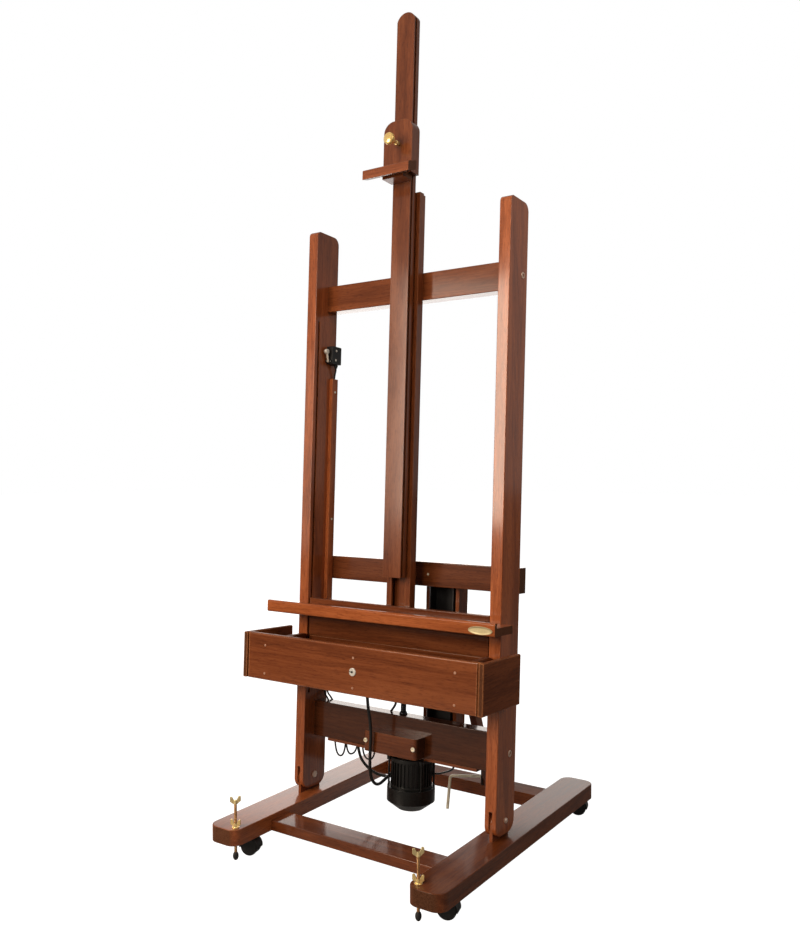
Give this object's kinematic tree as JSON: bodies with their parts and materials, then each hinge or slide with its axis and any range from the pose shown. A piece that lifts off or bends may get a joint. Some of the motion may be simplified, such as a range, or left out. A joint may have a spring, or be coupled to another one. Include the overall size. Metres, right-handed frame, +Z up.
{
  "type": "motorised studio easel",
  "caption": "Motorised wooden studio easel: leaning H-frame on casters, powered carriage with canvas ledge and open tray, sliding mast with a top canvas clamp.",
  "frame": {"origin": "floor level, under the middle of the base", "axes": "+X to the right seen from the front, +Y to the back, +Z up; the canvas faces -Y"},
  "size_m": [0.702, 0.81, 2.1068],
  "materials": {
    "wood_z": "walnut stain under satin lacquer, grain along the upright",
    "wood_x": "walnut stain under satin lacquer, grain across the frame",
    "wood_y": "walnut stain under satin lacquer, grain front to back",
    "brass": "polished",
    "zinc_steel": "yellow zinc plated",
    "black_paint": "satin black",
    "black_plastic": "moulded",
    "black_rubber": "matt",
    "chrome": "polished",
    "dark_steel": "oiled",
    "cord": "smooth cable sheath"
  },
  "bodies": {
    "base": {"runner_left": "wood_y", "runner_right": "wood_y", "front_cross_member": "wood_x", "rear_cross_member": "wood_x", "pivot_tongues": "wood_z", "lock_nuts": "brass", "strut_bracket": "black_paint"},
    "frame": {"upright_left": "wood_z", "upright_right": "wood_z", "top_rail": "wood_x", "rear_rail": "wood_x", "drive_rail": "wood_x", "drive_block": "wood_x", "cover_strip": "wood_x", "column": "wood_z", "column_liner": "black_plastic", "column_spacer": "wood_z", "motor_body": "black_paint", "motor_cowl": "black_paint", "limit_switch": "black_plastic", "raceway": "wood_z", "frame_bolts": "zinc_steel", "frame_screws": "zinc_steel", "motor_cable": "cord", "tray_cable": "cord", "supply_cable": "cord", "switch_wire": "cord"},
    "carriage": {"back_board": "wood_x", "ledge": "wood_x", "tray_front": "wood_x", "tray_side_left": "wood_y", "tray_side_right": "wood_y", "tray_floor": "wood_x", "tray_dividers": "wood_y", "switch_housing": "wood_x", "key_switch": "chrome", "mast_guide": "wood_z", "lift_nut": "dark_steel", "tray_screws": "zinc_steel"},
    "mast": {"mast": "wood_z"},
    "clamp": {"clamp_plate": "wood_z", "clamp_arm": "wood_x"},
    "knob": {"clamp_knob": "brass"},
    "key": {"key_plug": "chrome"},
    "lead_screw": {"lead_screw": "dark_steel"},
    "strut": {"tilt_strut": "wood_z"},
    "handle": {"clamp_handle": "zinc_steel"},
    "limit_lever": {"limit_lever": "chrome"},
    "caster_front_left": {"caster_hood_front_left": "black_plastic"},
    "wheels_front_left": {"caster_wheels_front_left": "black_rubber"},
    "caster_front_right": {"caster_hood_front_right": "black_plastic"},
    "wheels_front_right": {"caster_wheels_front_right": "black_rubber"},
    "caster_rear_left": {"caster_hood_rear_left": "black_plastic"},
    "wheels_rear_left": {"caster_wheels_rear_left": "black_rubber"},
    "caster_rear_right": {"caster_hood_rear_right": "black_plastic"},
    "wheels_rear_right": {"caster_wheels_rear_right": "black_rubber"},
    "foot_left": {"levelling_foot_left": "black_rubber"},
    "level_left": {"levelling_screw_left": "brass"},
    "foot_right": {"levelling_foot_right": "black_rubber"},
    "level_right": {"levelling_screw_right": "brass"}
  },
  "joints": [
    {"name": "swivel_front_left", "type": "hinge", "parent": "base", "child": "caster_front_left", "pos_m": [-0.2855, -0.327, 0.048], "axis": [0, 0, 1], "continuous": true},
    {"name": "roll_front_left", "type": "hinge", "parent": "caster_front_left", "child": "wheels_front_left", "pos_m": [-0.27004, -0.32286, 0.022], "axis": [-0.2588, 0.9659, 0], "continuous": true},
    {"name": "swivel_front_right", "type": "hinge", "parent": "base", "child": "caster_front_right", "pos_m": [0.2855, -0.327, 0.048], "axis": [0, 0, 1], "continuous": true},
    {"name": "roll_front_right", "type": "hinge", "parent": "caster_front_right", "child": "wheels_front_right", "pos_m": [0.30095, -0.32286, 0.022], "axis": [-0.2588, 0.9659, 0], "continuous": true},
    {"name": "swivel_rear_left", "type": "hinge", "parent": "base", "child": "caster_rear_left", "pos_m": [-0.2855, 0.371, 0.048], "axis": [0, 0, 1], "continuous": true},
    {"name": "roll_rear_left", "type": "hinge", "parent": "caster_rear_left", "child": "wheels_rear_left", "pos_m": [-0.27004, 0.37514, 0.022], "axis": [-0.2588, 0.9659, 0], "continuous": true},
    {"name": "swivel_rear_right", "type": "hinge", "parent": "base", "child": "caster_rear_right", "pos_m": [0.2855, 0.371, 0.048], "axis": [0, 0, 1], "continuous": true},
    {"name": "roll_rear_right", "type": "hinge", "parent": "caster_rear_right", "child": "wheels_rear_right", "pos_m": [0.30095, 0.37514, 0.022], "axis": [-0.2588, 0.9659, 0], "continuous": true},
    {"name": "level_slide_left", "type": "slide", "parent": "base", "child": "foot_left", "axis": [0, 0, 1], "range_m": [-0.007, 0.013]},
    {"name": "level_turn_left", "type": "hinge", "parent": "foot_left", "child": "level_left", "pos_m": [-0.264, -0.382, 0.108], "axis": [0, 0, 1], "range_deg": [-2020, 3750]},
    {"name": "level_slide_right", "type": "slide", "parent": "base", "child": "foot_right", "axis": [0, 0, 1], "range_m": [-0.007, 0.013]},
    {"name": "level_turn_right", "type": "hinge", "parent": "foot_right", "child": "level_right", "pos_m": [0.264, -0.382, 0.108], "axis": [0, 0, 1], "range_deg": [-2020, 3750]},
    {"name": "tilt", "type": "hinge", "parent": "base", "child": "frame", "pos_m": [0, -0.06989, 0.12757], "axis": [-1, 0, 0], "range_deg": [-5, 8]},
    {"name": "strut_pivot", "type": "hinge", "parent": "frame", "child": "strut", "pos_m": [0.131, 0.03974, 0.45344], "axis": [1, 0, 0], "range_deg": [-1.5, 2.2]},
    {"name": "handle_turn", "type": "hinge", "parent": "base", "child": "handle", "pos_m": [0.13, 0.1682, 0.127], "axis": [1, 0, 0], "range_deg": [-60, 40]},
    {"name": "lift", "type": "slide", "parent": "frame", "child": "carriage", "axis": [0, 0.0506, 0.9987], "range_m": [-0.06, 0.65], "deforming": ["motor_cable", "tray_cable"]},
    {"name": "screw_turn", "type": "hinge", "parent": "frame", "child": "lead_screw", "pos_m": [0, -0.02166, 0.78297], "axis": [0, 0.0506, 0.9987], "range_deg": [-46810, 4330]},
    {"name": "mast_slide", "type": "slide", "parent": "carriage", "child": "mast", "axis": [0, 0.0506, 0.9987], "range_m": [-0.068, 0.5]},
    {"name": "clamp_slide", "type": "slide", "parent": "mast", "child": "clamp", "axis": [0, 0.0506, 0.9987], "range_m": [-0.9, 0.24]},
    {"name": "knob_turn", "type": "hinge", "parent": "clamp", "child": "knob", "pos_m": [0, -0.09388, 1.76888], "axis": [0, 0.9987, -0.0506], "range_deg": [-360, 0]},
    {"name": "key_turn", "type": "hinge", "parent": "carriage", "child": "key", "pos_m": [0, -0.25849, 0.47606], "axis": [0, 0.9987, -0.0506], "range_deg": [-45, 45]},
    {"name": "limit_trip", "type": "hinge", "parent": "frame", "child": "limit_lever", "pos_m": [-0.2655, -0.01407, 1.24918], "axis": [1, 0, 0], "range_deg": [-9, 0], "stiffness_Nm_per_rad": 0.05}
  ],
  "couplings": [
    {"joint": "level_turn_left", "follows": "level_slide_left", "rad_per_m": 5026.5},
    {"joint": "level_turn_right", "follows": "level_slide_right", "rad_per_m": 5026.5},
    {"joint": "strut_pivot", "follows": "tilt", "ratio": 0.241},
    {"joint": "screw_turn", "follows": "lift", "rad_per_m": -1256.6}
  ]
}
